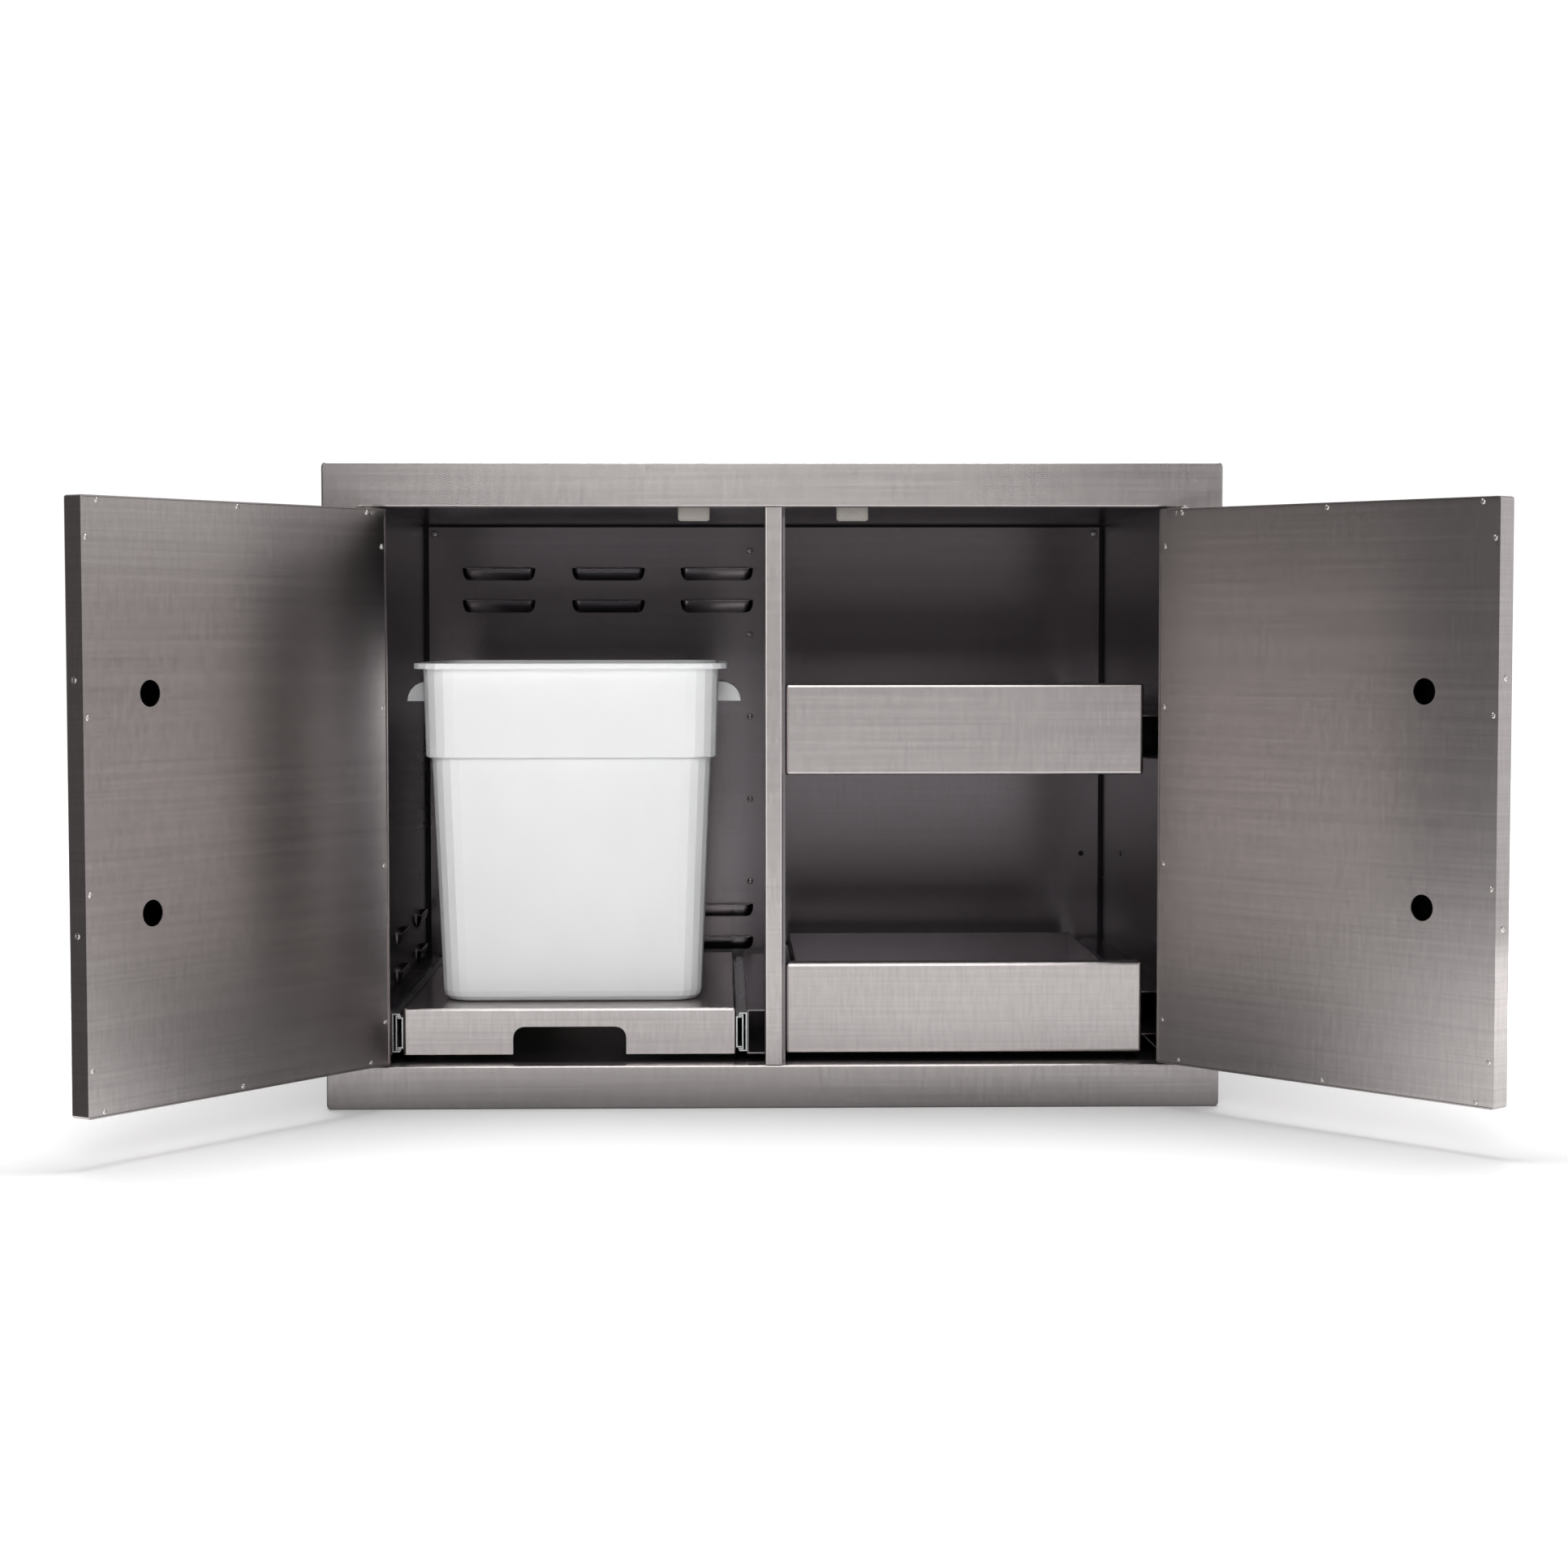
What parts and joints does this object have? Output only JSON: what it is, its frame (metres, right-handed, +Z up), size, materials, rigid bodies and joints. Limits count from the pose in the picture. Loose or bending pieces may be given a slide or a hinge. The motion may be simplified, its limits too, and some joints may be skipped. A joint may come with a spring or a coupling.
{
  "type": "built-in cabinet with pull-out trash bin and drawers",
  "caption": "Built-in stainless double-door cabinet with a pull-out trash bin tray, inner drawers and vented back.",
  "frame": {"origin": "middle of the face frame's bottom edge, halfway through its depth", "axes": "+X to the right of someone facing the doors, +Y into the cabinet, +Z up"},
  "size_m": [1.1543, 0.8026, 0.577],
  "materials": {
    "brushed_stainless": "horizontal brushed grain",
    "inner_stainless": "duller brushed grain",
    "polished_stainless": "bright satin",
    "zinc_plated_steel": "bright zinc plate",
    "white_polyethylene": "translucent white, soft sheen",
    "grey_plastic": "satin"
  },
  "bodies": {
    "cabinet": {"face_frame": "brushed_stainless", "centre_mullion": "brushed_stainless", "left_side_panel": "inner_stainless", "right_side_panel": "inner_stainless", "top_panel": "inner_stainless", "bottom_panel": "inner_stainless", "back_panel": "inner_stainless", "centre_divider": "inner_stainless", "left_magnet_catch": "grey_plastic", "right_magnet_catch": "grey_plastic", "tray_left_mounting_rail": "inner_stainless", "tray_right_mounting_rail": "inner_stainless", "upper_drawer_left_mounting_rail": "inner_stainless", "upper_drawer_right_mounting_rail": "inner_stainless", "lower_drawer_left_mounting_rail": "inner_stainless", "lower_drawer_right_mounting_rail": "inner_stainless", "tray_left_slide_outer": "zinc_plated_steel", "tray_right_slide_outer": "zinc_plated_steel", "upper_drawer_left_slide_outer": "zinc_plated_steel", "upper_drawer_right_slide_outer": "zinc_plated_steel", "lower_drawer_left_slide_outer": "zinc_plated_steel", "lower_drawer_right_slide_outer": "zinc_plated_steel"},
    "left_door": {"left_door_shell": "brushed_stainless", "left_door_liner": "brushed_stainless", "left_door_handle_bar": "polished_stainless", "left_door_lower_handle_post": "polished_stainless", "left_door_upper_handle_post": "polished_stainless", "left_door_top_pivot": "polished_stainless", "left_door_bottom_pivot": "polished_stainless"},
    "right_door": {"right_door_shell": "brushed_stainless", "right_door_liner": "brushed_stainless", "right_door_handle_bar": "polished_stainless", "right_door_lower_handle_post": "polished_stainless", "right_door_upper_handle_post": "polished_stainless", "right_door_top_pivot": "polished_stainless", "right_door_bottom_pivot": "polished_stainless"},
    "tray": {"trash_tray": "brushed_stainless", "tray_left_slide_inner": "zinc_plated_steel", "tray_right_slide_inner": "zinc_plated_steel"},
    "tray_middle_slides": {"tray_left_slide_middle": "zinc_plated_steel", "tray_right_slide_middle": "zinc_plated_steel"},
    "bin": {"trash_bin": "white_polyethylene"},
    "upper_drawer": {"upper_drawer_front": "brushed_stainless", "upper_drawer_box": "inner_stainless", "upper_drawer_left_slide_inner": "zinc_plated_steel", "upper_drawer_right_slide_inner": "zinc_plated_steel"},
    "upper_drawer_middle_slides": {"upper_drawer_left_slide_middle": "zinc_plated_steel", "upper_drawer_right_slide_middle": "zinc_plated_steel"},
    "lower_drawer": {"lower_drawer_front": "brushed_stainless", "lower_drawer_box": "inner_stainless", "lower_drawer_left_slide_inner": "zinc_plated_steel", "lower_drawer_right_slide_inner": "zinc_plated_steel"},
    "lower_drawer_middle_slides": {"lower_drawer_left_slide_middle": "zinc_plated_steel", "lower_drawer_right_slide_middle": "zinc_plated_steel"}
  },
  "joints": [
    {"name": "left_door_hinge", "type": "hinge", "parent": "cabinet", "child": "left_door", "pos_m": [-0.3595, -0.008, 0.289], "axis": [0, 0, -1], "range_deg": [-125.5, 7.5]},
    {"name": "right_door_hinge", "type": "hinge", "parent": "cabinet", "child": "right_door", "pos_m": [0.3595, -0.008, 0.289], "axis": [0, 0, 1], "range_deg": [-131, 2]},
    {"name": "tray_slide", "type": "slide", "parent": "cabinet", "child": "tray", "axis": [0, -1, 0], "range_m": [0, 0.4]},
    {"name": "tray_middle_slide", "type": "slide", "parent": "cabinet", "child": "tray_middle_slides", "axis": [0, -1, 0], "range_m": [0, 0.2]},
    {"name": "upper_drawer_slide", "type": "slide", "parent": "cabinet", "child": "upper_drawer", "axis": [0, -1, 0], "range_m": [0, 0.4]},
    {"name": "upper_drawer_middle_slide", "type": "slide", "parent": "cabinet", "child": "upper_drawer_middle_slides", "axis": [0, -1, 0], "range_m": [0, 0.2]},
    {"name": "lower_drawer_slide", "type": "slide", "parent": "cabinet", "child": "lower_drawer", "axis": [0, -1, 0], "range_m": [0, 0.4]},
    {"name": "lower_drawer_middle_slide", "type": "slide", "parent": "cabinet", "child": "lower_drawer_middle_slides", "axis": [0, -1, 0], "range_m": [0, 0.2]},
    {"name": "bin_lift", "type": "slide", "parent": "tray", "child": "bin", "axis": [0, 0, 1], "range_m": [0, 0.12]}
  ],
  "couplings": [
    {"joint": "tray_middle_slide", "follows": "tray_slide", "ratio": 0.5},
    {"joint": "upper_drawer_middle_slide", "follows": "upper_drawer_slide", "ratio": 0.5},
    {"joint": "lower_drawer_middle_slide", "follows": "lower_drawer_slide", "ratio": 0.5}
  ]
}
